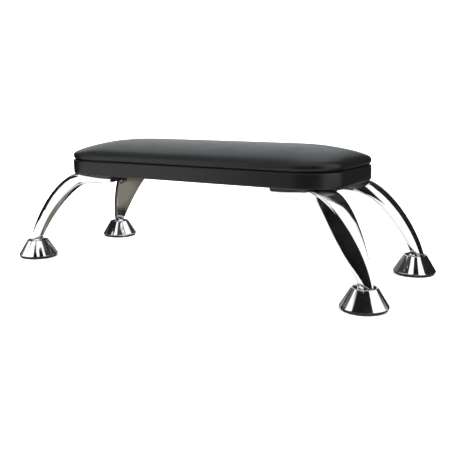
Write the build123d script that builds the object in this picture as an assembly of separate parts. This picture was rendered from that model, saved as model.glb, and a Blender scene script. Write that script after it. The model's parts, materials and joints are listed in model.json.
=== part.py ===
from build123d import *
import math
import os

os.makedirs("parts", exist_ok=True)

# A table-top armrest: a crowned cushion on a wrapped base board, on four curved legs with bell feet.
# Millimetres. +X runs along the pad and +Z is up. The origin is on the table, under the pad's centre.

# The pad's outline, shared by the cushion, the base board and the plates
pad_length = 350.0
pad_width = 141.0
pad_corner_radius = 37.0
pad_underside = 105.2
skin_thickness = 0.8
hem_width = 15.0

# The base board and what wraps it
lining_thickness = 0.4
lining_margin = 5.0
base_board_thickness = 15.0
base_edge_rounding = 1.8
board_edge_rounding = 1.0

# The cushion
cushion_board_thickness = 4.0
cushion_board_inset = 3.6
cushion_side_height = 9.3
cushion_draw_in = 2.2
cushion_crown = 12.6
cushion_crown_power = 2.6
cushion_corner_limit_share = 0.92
# Up the side: how high each outline is, as a share of the side, and how far in, as a share of the draw-in
side_rise_shares = (0.0, 0.13, 0.34, 0.57, 0.78, 0.93)
side_inset_shares = (1.0, 0.42, 0.07, 0.0, 0.22, 0.7)
# Over the top: how far in each outline is, as a share of the way from the edge to the middle line
crown_run_shares = (0.0, 0.07, 0.17, 0.31, 0.48, 0.66, 0.82, 0.94)

# The steel plates that carry the legs
plate_thickness = 3.2
plate_margin = 8.5
plate_inner_end = 105.0
plate_inner_rounding = 3.0

# The legs. The one at +X +Y is drawn, and the others are its mirror images.
foot_x = 215.2
foot_y = 77.2
leg_tip_x = 103.0
leg_tip_y = 45.0
leg_tip_setback = 1.2
leg_path_bottom = 16.0
leg_width = 38.6
leg_thickness = 15.6
leg_pad_gap = 0.3
plate_pocket_gap = 0.3
# The leg's middle line is a Bezier curve: shares of the run from tip to foot in X, in Y and in height
leg_along_shares = (0.0, 0.59, 0.40, 0.89, 1.035)
leg_across_shares = (0.0, -0.015, 0.115, 0.82, 1.06)
leg_rise_shares = (0.983, 0.892, 1.195, 0.71, 0.0)
# Its width and thickness are Bezier curves too, in shares of the leg's width and thickness
leg_width_shares = (0.78, 1.04, 1.29, 0.12)
leg_thickness_shares = (0.22, 1.12, 1.07, 0.81)
leg_stations = 13
leg_direction_step_share = 0.01
# The section's two upper edges stand these shares of its half width out and in, as Bezier curves again
crest_offset_shares = (0.96, 1.03, 0.67, -0.13)
shoulder_offset_shares = (0.6, 0.62, 0.58)
# How far each face bows out, as a share of its width
outer_face_bow_share = 0.1
top_face_bow_share = 0.05
inner_face_bow_share = 0.18
under_face_bow_share = 0.02

# The leg's end inside the bell
spigot_radius = 9.2
spigot_top = 22.0
neck_radius = 6.5
neck_top = 20.5
neck_bottom = 11.5

# The bell feet
bell_bottom = 2.4
bell_height = 18.85
bell_radius = 23.3
bell_rim_radius = 12.5
bell_band_height = 1.2
bell_wall = 2.3
bell_lip_rounding = 0.7
bell_floor_thickness = 4.0
bell_socket_depth = 2.0
bell_hollow_rounding = 1.5
washer_thickness = 1.0
washer_radius = 5.0
foot_travel = 3.0

# The rubber pads under the bells
rubber_radius = 21.7
rubber_flare = 0.7
rubber_plug_height = 3.4
rubber_plug_wall = 4.0
rubber_edge_rounding = 0.6
rubber_clearance = 0.3

# Bolts, screws and staples
bolt_radius = 2.5
bolt_clearance = 0.1
foot_bolt_length = 18.5
foot_bolt_head_flats = 8.0
foot_bolt_head_height = 3.5
foot_bore_spare = 1.5
leg_bolt_places = ((118.0, 44.5), (138.0, 45.5))
leg_bolt_length = 20.0
leg_bolt_head_radius = 4.5
leg_bolt_head_height = 2.6
leg_bolt_head_rounding = 1.2
leg_bolt_socket_flats = 3.0
leg_bolt_socket_depth = 1.4
leg_bolt_seat_depth = 3.8
leg_bolt_seat_gap = 0.4
tee_nut_flange_radius = 7.0
tee_nut_flange_thickness = 1.2
tee_nut_barrel_radius = 3.4
tee_nut_length = 10.0
screw_radius = 2.0
screw_head_radius = 4.0
screw_head_height = 2.2
screw_point_height = 3.0
plate_screw_length = 14.0
plate_screw_places = ((116.0, 18.0), (154.0, 18.0))
cushion_screw_length = 19.0
cushion_screw_places = ((0.0, 40.0), (78.0, 32.0))
staple_width = 10.0
staple_leg = 4.4
staple_wire = 0.5
staple_edge_distance = 9.0
staples_along_side = 8
staples_across_end = 3

# One overrun serves every cut that runs past a surface
overrun = 5.0

lining_top = pad_underside + lining_thickness
base_board_bottom = lining_top + skin_thickness
base_board_top = base_board_bottom + base_board_thickness
base_top = base_board_top + skin_thickness
cushion_board_bottom = base_top + skin_thickness
plate_bottom = pad_underside - plate_thickness
bell_floor_top = neck_bottom - washer_thickness
bell_floor_bottom = bell_floor_top - bell_floor_thickness
bell_rim_height = bell_bottom + bell_height
foot_bolt_head_top = bell_floor_bottom + bell_socket_depth


def slab(inset, low, high):
    """The pad's outline drawn in by inset, as a slab from one height to another."""
    outline = RectangleRounded(pad_length - 2 * inset, pad_width - 2 * inset, pad_corner_radius - inset)
    return extrude(Pos(0, 0, low) * outline, high - low)


def rod(radius, x, y, low, high):
    """A round rod on a vertical axis, from one height to another."""
    return extrude(Pos(x, y, low) * Circle(radius), high - low)


def rounded_slab(inset, low, high, rounding):
    """A slab of the pad's outline with its long edges rounded above and below."""
    body = slab(inset, low, high)
    rims = body.faces().sort_by(Axis.Z)[0].edges() + body.faces().sort_by(Axis.Z)[-1].edges()
    return fillet(rims, rounding)


def four_ways(place):
    """A place in the +X +Y quarter and its mirror images, each once."""
    x, y = place
    return sorted({(x * side, y * end) for side in (1, -1) for end in (1, -1)})


def group(solids):
    """Separate solids kept together as one piece."""
    return Compound(children=[part for solid in solids for part in solid.solids()])


def without(body, tools):
    """The body with each tool cut out of it."""
    for tool in tools:
        body = body - tool
    return body


def bezier(controls, share):
    """The point at that share of the Bezier curve with these controls, which are numbers or vectors."""
    points = list(controls)
    while len(points) > 1:
        points = [a + (b - a) * share for a, b in zip(points, points[1:])]
    return points[0]


# Upholstery

def cushion_outline(inset, height):
    """One level outline of the cushion, whose corners stay round as it draws in over the crown."""
    half_width = pad_width / 2 - inset
    corner = min(pad_corner_radius, cushion_corner_limit_share * half_width)
    return Pos(0, 0, height) * RectangleRounded(pad_length - 2 * inset, 2 * half_width, corner)


def cushion_levels():
    """(inset, rise) of each outline from the seam up the side and over the crown."""
    levels = []
    for rise_share, inset_share in zip(side_rise_shares, side_inset_shares):
        levels.append((cushion_draw_in * inset_share, cushion_side_height * rise_share))
    crown_run = pad_width / 2 - cushion_draw_in
    for run_share in crown_run_shares:
        lift = 1 - (1 - run_share) ** cushion_crown_power
        levels.append((cushion_draw_in + crown_run * run_share, cushion_side_height + cushion_crown * lift))
    return levels


def cushion_form(depth):
    """The cushion's whole form, or the form that lies that depth inside its surface."""
    full_rise = cushion_side_height + cushion_crown
    squeeze = (full_rise - 2 * depth) / full_rise
    outlines = []
    for inset, rise in cushion_levels():
        outlines.append(cushion_outline(inset + depth, base_top + depth + rise * squeeze))
    return loft(outlines)


def make_cushion_board():
    return extrude(cushion_outline(cushion_board_inset, cushion_board_bottom), cushion_board_thickness)


def make_cushion_foam():
    """Foam over the board and down over its edge."""
    return cushion_form(skin_thickness) - make_cushion_board()


def make_top_cover():
    """The cushion's skin, turned in under the board by a hem."""
    opening = slab(cushion_draw_in + hem_width, base_top - overrun, cushion_board_bottom)
    return cushion_form(0) - cushion_form(skin_thickness) - opening


def make_base_board():
    return rounded_slab(skin_thickness, base_board_bottom, base_board_top, board_edge_rounding)


def make_base_cover():
    """The band round the base board, turned in over and under it by hems."""
    body = rounded_slab(0, lining_top, base_top, base_edge_rounding)
    opening = slab(skin_thickness + hem_width, lining_top - overrun, base_top + overrun)
    return body - make_base_board() - opening


def make_bottom_lining():
    return slab(lining_margin, pad_underside, lining_top)


# Staples

def staple(place, turn, crown_height, upward):
    """One staple lying flush in what it holds, with its legs in the board."""
    crown = Box(staple_width, staple_wire, staple_wire, align=(Align.CENTER, Align.CENTER, Align.MIN))
    leg = Box(staple_wire, staple_wire, staple_leg, align=(Align.CENTER, Align.CENTER, Align.MIN))
    reach = (staple_width - staple_wire) / 2
    body = crown + Pos(reach, 0, 0) * leg + Pos(-reach, 0, 0) * leg
    if not upward:
        body = body.mirror(Plane.XY)
    x, y = place
    return Pos(x, y, crown_height) * Rot(0, 0, turn) * body


def staple_ring(crown_height, upward):
    """Staples along the four straight edges of a hem."""
    half_length = pad_length / 2 - staple_edge_distance
    half_width = pad_width / 2 - staple_edge_distance
    side_run = pad_length - 2 * pad_corner_radius - staple_width
    end_run = pad_width - 2 * pad_corner_radius - staple_width
    staples = []
    for index in range(staples_along_side):
        x = side_run * (index / (staples_along_side - 1) - 1 / 2)
        staples += [staple((x, side * half_width), 0, crown_height, upward) for side in (1, -1)]
    for index in range(staples_across_end):
        y = end_run * (index / (staples_across_end - 1) - 1 / 2)
        staples += [staple((end * half_length, y), 90, crown_height, upward) for end in (1, -1)]
    return staples


# Fasteners

def hexagon(flats):
    """A hexagon of that width across its flats."""
    return RegularPolygon(flats / 2, 6, major_radius=False)


def countersunk_screw(x, y, head_bottom, length):
    """A wood screw pointing up, with its flat head at the bottom and a pointed tip."""
    shank_top = head_bottom + length - screw_point_height
    body = rod(screw_radius, x, y, head_bottom, shank_top)
    head = Cone(screw_head_radius, screw_radius, screw_head_height,
                align=(Align.CENTER, Align.CENTER, Align.MIN))
    point = Cone(screw_radius, 0, screw_point_height, align=(Align.CENTER, Align.CENTER, Align.MIN))
    return body + Pos(x, y, head_bottom) * head + Pos(x, y, shank_top) * point


def make_cushion_screws():
    """Screws from the base board's underside up into the cushion's board."""
    return [countersunk_screw(x, y, base_board_bottom, cushion_screw_length)
            for place in cushion_screw_places for x, y in four_ways(place)]


def make_plate_screws():
    return [countersunk_screw(x, y, plate_bottom, plate_screw_length)
            for place in plate_screw_places for x, y in four_ways(place)]


def leg_bolt(x, y):
    """A socket button screw from under the leg's arm up into its tee nut."""
    seat = plate_bottom - leg_bolt_seat_depth
    head = rod(leg_bolt_head_radius, x, y, seat - leg_bolt_head_height, seat)
    head = fillet(head.edges().sort_by(Axis.Z)[0], leg_bolt_head_rounding)
    socket = extrude(Pos(x, y, seat - leg_bolt_head_height) * hexagon(leg_bolt_socket_flats),
                     leg_bolt_socket_depth)
    return head - socket + rod(bolt_radius, x, y, seat, seat + leg_bolt_length)


def tee_nut(x, y):
    """A tee nut pressed into the base board from above, with its flange on top."""
    flange = rod(tee_nut_flange_radius, x, y, base_board_top, base_board_top + tee_nut_flange_thickness)
    barrel = rod(tee_nut_barrel_radius, x, y, base_board_top - tee_nut_length, base_board_top)
    bore = rod(bolt_radius + bolt_clearance, x, y, base_board_top - tee_nut_length - overrun,
               base_board_top + overrun)
    return flange + barrel - bore


def leg_bolt_holes(low, high):
    """Clearance holes for the leg bolts between two heights, at all four corners."""
    return [rod(bolt_radius + bolt_clearance, x, y, low, high)
            for place in leg_bolt_places for x, y in four_ways(place)]


# Plates and legs

def make_plate(side, gap=0.0):
    """The plate at one end of the pad: the pad's outline set in, cut off square towards the middle."""
    body = slab(plate_margin - gap, plate_bottom, pad_underside + gap)
    length = pad_length / 2
    keep = Pos(side * (plate_inner_end - gap + length / 2), 0, pad_underside) * Box(
        length, pad_width, 2 * (plate_thickness + overrun))
    body = body & keep
    corners = body.edges().filter_by(Axis.Z).group_by(Axis.X)[0 if side > 0 else -1]
    return fillet(corners, plate_inner_rounding)


def leg_point(share):
    """A point of the leg's middle line, from the tip of its arm at 0 to the foot at 1."""
    along = bezier(leg_along_shares, share)
    across = bezier(leg_across_shares, share)
    rise = bezier(leg_rise_shares, share)
    return Vector(leg_tip_x + (foot_x - leg_tip_x) * along,
                  leg_tip_y + (foot_y - leg_tip_y) * across,
                  leg_path_bottom + (plate_bottom - leg_path_bottom) * rise)


def leg_section(share):
    """A four-sided section square to the middle line: a wide under face, a narrower top face, bowed sides."""
    step = leg_direction_step_share
    direction = leg_point(share + step) - leg_point(share - step)
    sideways = Vector(-direction.Y, direction.X, 0)
    half = leg_width * bezier(leg_width_shares, share) / 2
    thick = leg_thickness * bezier(leg_thickness_shares, share)
    inner = Vector(-half, -thick / 2)
    outer = Vector(half, -thick / 2)
    crest = Vector(bezier(crest_offset_shares, share) * half, thick / 2)
    shoulder = Vector(-bezier(shoulder_offset_shares, share) * half, thick / 2)
    under = SagittaArc(outer, inner, under_face_bow_share * 2 * half)
    inner_face = SagittaArc(inner, shoulder, inner_face_bow_share * (shoulder - inner).length)
    top_face = SagittaArc(shoulder, crest, top_face_bow_share * (crest - shoulder).length)
    outer_face = SagittaArc(crest, outer, outer_face_bow_share * (outer - crest).length)
    outline = make_face(Curve() + [under, inner_face, top_face, outer_face])
    return Plane(leg_point(share), x_dir=sideways, z_dir=direction) * outline


def make_leg():
    """The leg at +X +Y: a swept blade cut flat under the pad and plate, with a neck for the bell foot."""
    sections = [leg_section(index / (leg_stations - 1)) for index in range(leg_stations)]
    blade = loft(sections)
    reach = foot_x + bell_radius
    above_pad = Pos(reach / 2, reach / 2, pad_underside - leg_pad_gap) * Box(
        reach, reach, leg_thickness, align=(Align.CENTER, Align.CENTER, Align.MIN))
    inside_end = Pos(0, 0, pad_underside) * Box(
        2 * (plate_inner_end + leg_tip_setback), 2 * reach, 2 * leg_thickness)
    low_end = Pos(foot_x, foot_y, 0) * Box(
        2 * bell_radius, 2 * bell_radius, spigot_top, align=(Align.CENTER, Align.CENTER, Align.MIN))
    low_end = low_end - rod(spigot_radius, foot_x, foot_y, 0, spigot_top)
    leg = without(blade, [above_pad, inside_end, low_end, make_plate(1, plate_pocket_gap)])
    leg = leg + rod(neck_radius, foot_x, foot_y, neck_bottom, neck_top)
    bore_top = foot_bolt_head_top + foot_bolt_length + foot_bore_spare
    leg = leg - rod(bolt_radius + bolt_clearance, foot_x, foot_y, 0, bore_top)
    seat = plate_bottom - leg_bolt_seat_depth
    for x, y in leg_bolt_places:
        leg = leg - rod(bolt_radius + bolt_clearance, x, y, 0, pad_underside)
        leg = leg - rod(leg_bolt_head_radius + leg_bolt_seat_gap, x, y, 0, seat)
    return leg.solids().sort_by(SortBy.VOLUME)[-1]


# Feet, drawn on the origin's axis

def bell_side_radius(height):
    """The bell's outer radius at a height on its straight side."""
    band_top = bell_bottom + bell_band_height
    fall = (height - band_top) / (bell_rim_height - band_top)
    return bell_radius + (bell_rim_radius - bell_radius) * fall


def revolved(points, radii):
    """The closed outline of (radius, height) points with rounded corners, turned about the Z axis."""
    outline = FilletPolyline([Vector(radius, 0, height) for radius, height in points],
                             radius=radii, close=True)
    return revolve(make_face(outline), Axis.Z)


def make_bell():
    """A cup above for the leg's end, a floor for the bolt and a hollow below for the rubber pad."""
    band_top = bell_bottom + bell_band_height
    rounding = bell_lip_rounding
    points = [
        (bolt_radius + bolt_clearance, bell_floor_bottom),
        (bell_side_radius(bell_floor_bottom) - bell_wall, bell_floor_bottom),
        (bell_radius - bell_wall, bell_bottom),
        (bell_radius, bell_bottom),
        (bell_radius, band_top),
        (bell_rim_radius, bell_rim_height),
        (bell_rim_radius - bell_wall, bell_rim_height),
        (bell_side_radius(bell_floor_top) - bell_wall, bell_floor_top),
        (bolt_radius + bolt_clearance, bell_floor_top),
    ]
    radii = [0, bell_hollow_rounding, 0, rounding / 2, rounding, rounding, rounding, bell_hollow_rounding, 0]
    socket_flats = foot_bolt_head_flats + 2 * bolt_clearance
    socket = extrude(Pos(0, 0, bell_floor_bottom) * hexagon(socket_flats), bell_socket_depth)
    return revolved(points, radii) - socket


def make_foot_bolt():
    """A hexagon bolt with its head in the bell's socket and its shank up through the leg's neck."""
    head_bottom = foot_bolt_head_top - foot_bolt_head_height
    head = extrude(Pos(0, 0, head_bottom) * hexagon(foot_bolt_head_flats), foot_bolt_head_height)
    return head + rod(bolt_radius, 0, 0, foot_bolt_head_top, foot_bolt_head_top + foot_bolt_length)


def make_foot_washer():
    return rod(washer_radius, 0, 0, bell_floor_top, neck_bottom) - rod(
        bolt_radius + bolt_clearance, 0, 0, bell_floor_top, neck_bottom)


def make_rubber_pad():
    """A flared disc under the bell, with a ring that plugs into its hollow."""
    plug_radius = bell_side_radius(bell_floor_bottom) - bell_wall - rubber_clearance - bell_hollow_rounding
    plug_top = bell_bottom + rubber_plug_height
    points = [
        (0, 0),
        (rubber_radius, 0),
        (rubber_radius + rubber_flare, bell_bottom),
        (plug_radius, bell_bottom),
        (plug_radius, plug_top),
        (plug_radius - rubber_plug_wall, plug_top),
        (plug_radius - rubber_plug_wall, bell_bottom),
        (0, bell_bottom),
    ]
    rounding = rubber_edge_rounding
    return revolved(points, [0, rounding, rounding / 2, 0, rounding, rounding, 0, 0])


def at_corner(shape, along, across):
    """A copy of a +X +Y shape mirrored into the corner with those signs."""
    if along < 0:
        shape = shape.mirror(Plane.YZ)
    if across < 0:
        shape = shape.mirror(Plane.XZ)
    return shape


def build():
    """Every node of the armrest, by name."""
    lining_staples = staple_ring(pad_underside, True)
    base_staples = lining_staples + staple_ring(base_top, False)
    cushion_staples = staple_ring(base_top, True)
    cushion_screws = make_cushion_screws()
    plate_screws = make_plate_screws()
    leg_bolts = [leg_bolt(x, y) for place in leg_bolt_places for x, y in four_ways(place)]
    tee_nuts = [tee_nut(x, y) for place in leg_bolt_places for x, y in four_ways(place)]
    barrels = [rod(tee_nut_barrel_radius, x, y, base_board_top - tee_nut_length, base_board_top)
               for place in leg_bolt_places for x, y in four_ways(place)]
    board_holes = leg_bolt_holes(base_board_bottom, base_board_top)
    lining_holes = leg_bolt_holes(pad_underside, lining_top)
    plate_holes = leg_bolt_holes(plate_bottom, pad_underside)
    nodes = {
        "top_cover": without(make_top_cover(), cushion_staples),
        "cushion_foam": make_cushion_foam(),
        "cushion_board": without(make_cushion_board(), cushion_staples + cushion_screws),
        "cushion_staples": group(cushion_staples),
        "base_board": without(make_base_board(),
                              base_staples + cushion_screws + plate_screws + barrels + board_holes),
        "base_cover": without(make_base_cover(), base_staples),
        "base_staples": group(base_staples),
        "bottom_lining": without(make_bottom_lining(), lining_staples + plate_screws + lining_holes),
        "cushion_screws": group(cushion_screws),
        "left_leg_plate": without(make_plate(-1), plate_screws + plate_holes),
        "right_leg_plate": without(make_plate(1), plate_screws + plate_holes),
        "plate_screws": group(plate_screws),
        "leg_bolts": group(leg_bolts),
        "leg_tee_nuts": group(tee_nuts),
    }
    leg = make_leg()
    bell = make_bell()
    foot_bolt = make_foot_bolt()
    washer = make_foot_washer()
    rubber = make_rubber_pad()
    corners = {"rear_right": (1, 1), "front_right": (1, -1), "rear_left": (-1, 1), "front_left": (-1, -1)}
    for corner, (along, across) in corners.items():
        foot = Pos(foot_x * along, foot_y * across, 0)
        nodes[f"{corner}_leg"] = at_corner(leg, along, across)
        nodes[f"{corner}_bell_foot"] = foot * bell
        nodes[f"{corner}_foot_bolt"] = foot * foot_bolt
        nodes[f"{corner}_foot_washer"] = foot * washer
        nodes[f"{corner}_rubber_pad"] = foot * rubber
    return nodes


for name, shape in build().items():
    export_step(shape, f"parts/{name}.step")
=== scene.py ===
import json
import math

import bmesh
import bpy
import numpy as np
from mathutils import Matrix, Vector


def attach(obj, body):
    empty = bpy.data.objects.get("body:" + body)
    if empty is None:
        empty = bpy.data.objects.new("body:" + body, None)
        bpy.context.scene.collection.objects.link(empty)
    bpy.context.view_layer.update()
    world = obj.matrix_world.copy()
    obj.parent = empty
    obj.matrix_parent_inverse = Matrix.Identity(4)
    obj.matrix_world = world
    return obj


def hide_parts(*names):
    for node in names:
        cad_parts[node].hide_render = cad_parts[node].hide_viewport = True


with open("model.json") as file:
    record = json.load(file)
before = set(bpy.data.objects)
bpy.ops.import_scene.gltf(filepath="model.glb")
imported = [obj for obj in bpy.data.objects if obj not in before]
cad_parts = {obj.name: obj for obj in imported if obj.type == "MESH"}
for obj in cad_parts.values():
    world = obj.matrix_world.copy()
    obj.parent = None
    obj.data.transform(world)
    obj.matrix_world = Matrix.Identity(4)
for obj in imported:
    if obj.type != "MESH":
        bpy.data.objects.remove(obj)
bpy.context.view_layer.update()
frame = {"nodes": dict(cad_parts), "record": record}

# Metres, in the frame of the solids: +X along the pad, +Z up, the origin on the table under the
# pad. What the solids have too has the values of the part's source.
MM = 0.001

# The pad's outline and its levels
PAD_HALF_LENGTH = 175.0 * MM
PAD_HALF_WIDTH = 70.5 * MM
PAD_CORNER = 37.0 * MM
PAD_UNDERSIDE = 105.2 * MM
LINING_TOP = 105.6 * MM
BAND_TOP = 122.2 * MM
FOAM_BOTTOM = 127.1 * MM
SKIN = 0.8 * MM
HEM = 15.0 * MM
PADDING_SHARP_ANGLE = 50

# The cushion's side, draw-in and crown, and how finely its profile is drawn
SIDE_HEIGHT = 9.3 * MM
DRAW_IN = 2.2 * MM
CROWN = 12.6 * MM
CROWN_POWER = 2.6
SIDE_RISE_SHARES = (0, 0.06, 0.13, 0.34, 0.57, 0.78, 0.93, 1)
SIDE_INSET_SHARES = (1, 0.66, 0.42, 0.07, 0, 0.22, 0.66, 1)
CUSHION_CORNER_LIMIT_SHARE = 0.92
LEAST_CORNER = 0.001 * MM
HEM_ROWS = 10
SIDE_ROWS = 17
CROWN_ROWS = 44
CROWN_ROW_POWER = 1.3
EVENING_PASSES = 4
FOAM_GAP = 0.3 * MM

# The swelling of the cushion's skin
SWELL_FRAMES = 20
SWELL_PRESSURE = 4.0
SWELL_LIMIT = 1.2 * MM

# The band round the base board
BAND_ROUNDING = 1.8 * MM
BAND_BELLY = 0.25 * MM
BAND_BELLY_DEPTH = 4.0 * MM
BAND_POINT_SPACING = 1.5 * MM
HEM_EDGE_ROUNDING = 0.2 * MM

# The lining: its margin, how far in the staples hold it, and its sag between the plates
LINING_MARGIN = 5.0 * MM
LINING_HELD = 12.0 * MM
LINING_SAG = 0.7 * MM
LINING_SAG_END_X = 95.0 * MM
LINING_SAG_RUN = 40.0 * MM
LINING_ROWS = 20
LINING_LAST_HALF_WIDTH = 0.5 * MM
LINING_LEAST_CORNER = 0.2 * MM
LINING_WIDE_CORNERS_FROM = 30.0 * MM
LINING_WIDE_CORNER_SHARE = 0.9
LINING_CORNER_LIMIT_SHARE = 0.95

# The legs, in the shares that the part's source has
FOOT_X = 215.2 * MM
FOOT_Y = 77.2 * MM
LEG_TIP_X = 103.0 * MM
LEG_TIP_Y = 45.0 * MM
LEG_TRIM_X = 106.2 * MM
LEG_PATH_BOTTOM = 16.0 * MM
LEG_TOP = 104.9 * MM
PLATE_BOTTOM = 102.0 * MM
LEG_WIDTH = 38.6 * MM
LEG_THICKNESS = 15.6 * MM
LEG_ALONG = (0.0, 0.59, 0.40, 0.89, 1.035)
LEG_ACROSS = (0.0, -0.015, 0.115, 0.82, 1.06)
LEG_RISE = (0.983, 0.892, 1.195, 0.71, 0.0)
LEG_WIDTHS = (0.78, 1.04, 1.29, 0.12)
LEG_THICKNESSES = (0.22, 1.12, 1.07, 0.81)
CREST_OFFSETS = (0.96, 1.03, 0.67, -0.13)
SHOULDER_OFFSETS = (0.6, 0.62, 0.58)
UNDER_BOW, OUTER_BOW, TOP_BOW, INNER_BOW = 0.02, 0.1, 0.05, 0.18
UNDER_POINTS, OUTER_POINTS, TOP_POINTS, INNER_POINTS = 40, 20, 28, 20
LEG_ROWS = 150
LEG_DIRECTION_STEP_SHARE = 0.001
LEG_EDGE_SOFTNESS = 0.8 * MM
LEG_SHARP_ANGLE = 32
LEG_BOLTS = ((118.0 * MM, 44.5 * MM), (138.0 * MM, 45.5 * MM))
BOLT_SEAT = 98.2 * MM
BOLT_SEAT_RADIUS = 4.9 * MM
PLATE_MARGIN = 8.2 * MM
PLATE_POCKET_BOTTOM = 101.7 * MM
SPIGOT_RADIUS = 9.2 * MM
SPIGOT_TOP = 22.0 * MM
NECK_RADIUS = 6.5 * MM
NECK_TOP = 20.5 * MM
NECK_BOTTOM = 11.5 * MM
BORE_RADIUS = 2.6 * MM
BORE_TOP = 28.5 * MM
NECK_COLUMNS = 48

# How far the cutting tools stand clear of the leg
CUT_OVERRUN = 10.0 * MM
CUT_CLEAR = 50.0 * MM
CUT_FOOT_RADIUS = 60.0 * MM
CUT_END_X = 300.0 * MM
CUT_END = 200.0 * MM

# The bell feet, as (radius, height, rounding) round the section, in millimetres
BELL_SECTION = (
    (2.6, 8.5, 0.0), (4.85, 8.5, 0.0), (4.85, 6.5, 0.0), (19.2, 6.5, 1.5), (21.0, 2.4, 0.2),
    (23.3, 2.4, 0.4), (23.3, 3.6, 0.7), (12.5, 21.25, 0.8), (10.2, 21.25, 0.8), (16.8, 10.5, 1.5),
    (2.6, 10.5, 0.0),
)
BELL_COLUMNS = 128
BELL_SHARP_ANGLE = 40

CORNERS = {
    "rear_right": (1, 1), "front_right": (1, -1), "rear_left": (-1, 1), "front_left": (-1, -1),
}

# Guards against a division by nothing, and against an arc on an outline that is nearly straight
TINY = 1e-12
NEARLY_STRAIGHT = 0.02


# Meshes from arrays

def put_mesh(name, points, faces):
    """A mesh object from an (n, 3) array of points and a list of faces."""
    mesh = bpy.data.meshes.new(name)
    mesh.from_pydata(np.asarray(points, float).tolist(), [], faces)
    mesh.update()
    piece = bpy.data.objects.new(name, mesh)
    bpy.context.scene.collection.objects.link(piece)
    return piece


def ring_faces(rows, columns, wrap_rows=False):
    """Four-sided faces of a grid of closed rings, as a (rows, columns, 4) array. Row r and
    column c of the grid is point r * columns + c."""
    last = rows if wrap_rows else rows - 1
    r, c = np.meshgrid(np.arange(last), np.arange(columns), indexing="ij")
    r2, c2 = (r + 1) % rows, (c + 1) % columns
    corners = (r * columns + c, r * columns + c2, r2 * columns + c2, r2 * columns + c)
    return np.stack(corners, -1)


def ring_surface(name, grid, wrap_rows=False):
    """A closed surface from a (rows, columns, 3) grid of closed rings. Unless the rows wrap
    round to the first, each of the two ends gets a flat cap."""
    rows, columns = grid.shape[:2]
    faces = ring_faces(rows, columns, wrap_rows).reshape(-1, 4).tolist()
    if not wrap_rows:
        faces.append(list(range(columns))[::-1])
        faces.append(list(range((rows - 1) * columns, rows * columns)))
    return put_mesh(name, grid.reshape(-1, 3), faces)


def tidy_mesh(piece, distance=2e-6):
    """Joins points that lie on each other, as a ring that closes to a line has, and turns every
    face outwards."""
    work = bmesh.new()
    work.from_mesh(piece.data)
    bmesh.ops.remove_doubles(work, verts=work.verts, dist=distance)
    bmesh.ops.dissolve_degenerate(work, dist=distance, edges=work.edges)
    bmesh.ops.recalc_face_normals(work, faces=work.faces)
    work.to_mesh(piece.data)
    work.free()
    return piece


def smooth(piece, angle):
    """Smooth shading, with edges past that angle in degrees left sharp."""
    piece.data.shade_smooth()
    piece.data.set_sharp_from_angle(angle=math.radians(angle))
    return piece


def read_points(mesh):
    """A mesh's points as an (n, 3) array."""
    points = np.empty(len(mesh.vertices) * 3)
    mesh.vertices.foreach_get("co", points)
    return points.reshape(-1, 3)


def rounded_loop(corners, arc_points=7):
    """A closed outline through (a, b, rounding) corners in the plane. Each corner with a
    rounding becomes an arc that touches both of its sides, sampled evenly, and one without
    stays a point."""
    corners = np.asarray(corners, float)
    parts = []
    for index in range(len(corners)):
        here, rounding = corners[index, :2], corners[index, 2]
        before = corners[index - 1, :2] - here
        after = corners[(index + 1) % len(corners), :2] - here
        before, after = before / np.linalg.norm(before), after / np.linalg.norm(after)
        half = np.arccos(np.clip(before @ after, -1, 1)) / 2
        if rounding <= 0 or half > np.pi / 2 - NEARLY_STRAIGHT:
            parts.append(here[None])
            continue
        middle = before + after
        centre = here + middle / np.linalg.norm(middle) * rounding / np.sin(half)
        start = here + before * rounding / np.tan(half) - centre
        end = here + after * rounding / np.tan(half) - centre
        share = np.linspace(0, 1, arc_points)[:, None]
        sweep = np.arccos(np.clip(start @ end / rounding ** 2, -1, 1))
        arc = np.sin((1 - share) * sweep) * start + np.sin(share * sweep) * end
        parts.append(centre + arc / np.sin(sweep))
    return np.concatenate(parts)


def turned(name, section, centre, columns=96):
    """A closed section of (radius, height) points turned round a vertical axis through centre:
    each point's ring is (radius cos a, radius sin a, height)."""
    angle = np.linspace(0, 2 * np.pi, columns, endpoint=False)
    radius, height = section[:, 0, None], section[:, 1, None]
    grid = np.stack([centre[0] + radius * np.cos(angle), centre[1] + radius * np.sin(angle),
                     height + 0 * angle], -1)
    return ring_surface(name, grid, wrap_rows=True)


def rod(name, radius, centre, low, high, columns=64):
    """A plain round rod on a vertical axis, from one height to another."""
    angle = np.linspace(0, 2 * np.pi, columns, endpoint=False)
    ring = np.stack([centre[0] + radius * np.cos(angle), centre[1] + radius * np.sin(angle)], -1)
    grid = np.stack([np.column_stack([ring, np.full(columns, height)]) for height in (low, high)])
    return ring_surface(name, grid)


def block(name, low, high):
    """A plain block between two corners."""
    xs, ys = (low[0], high[0], high[0], low[0]), (low[1], low[1], high[1], high[1])
    grid = np.array([[(x, y, z) for x, y in zip(xs, ys)] for z in (low[2], high[2])])
    return ring_surface(name, grid)


def cut(piece, tool):
    """Cuts the tool out of the piece and throws the tool away."""
    change = piece.modifiers.new("cut", "BOOLEAN")
    change.operation = "DIFFERENCE"
    change.solver = "EXACT"
    change.object = tool
    graph = bpy.context.evaluated_depsgraph_get()
    result = bpy.data.meshes.new_from_object(piece.evaluated_get(graph))
    piece.modifiers.clear()
    piece.data = result
    bpy.data.objects.remove(tool)
    return piece


# Upholstery

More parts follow.
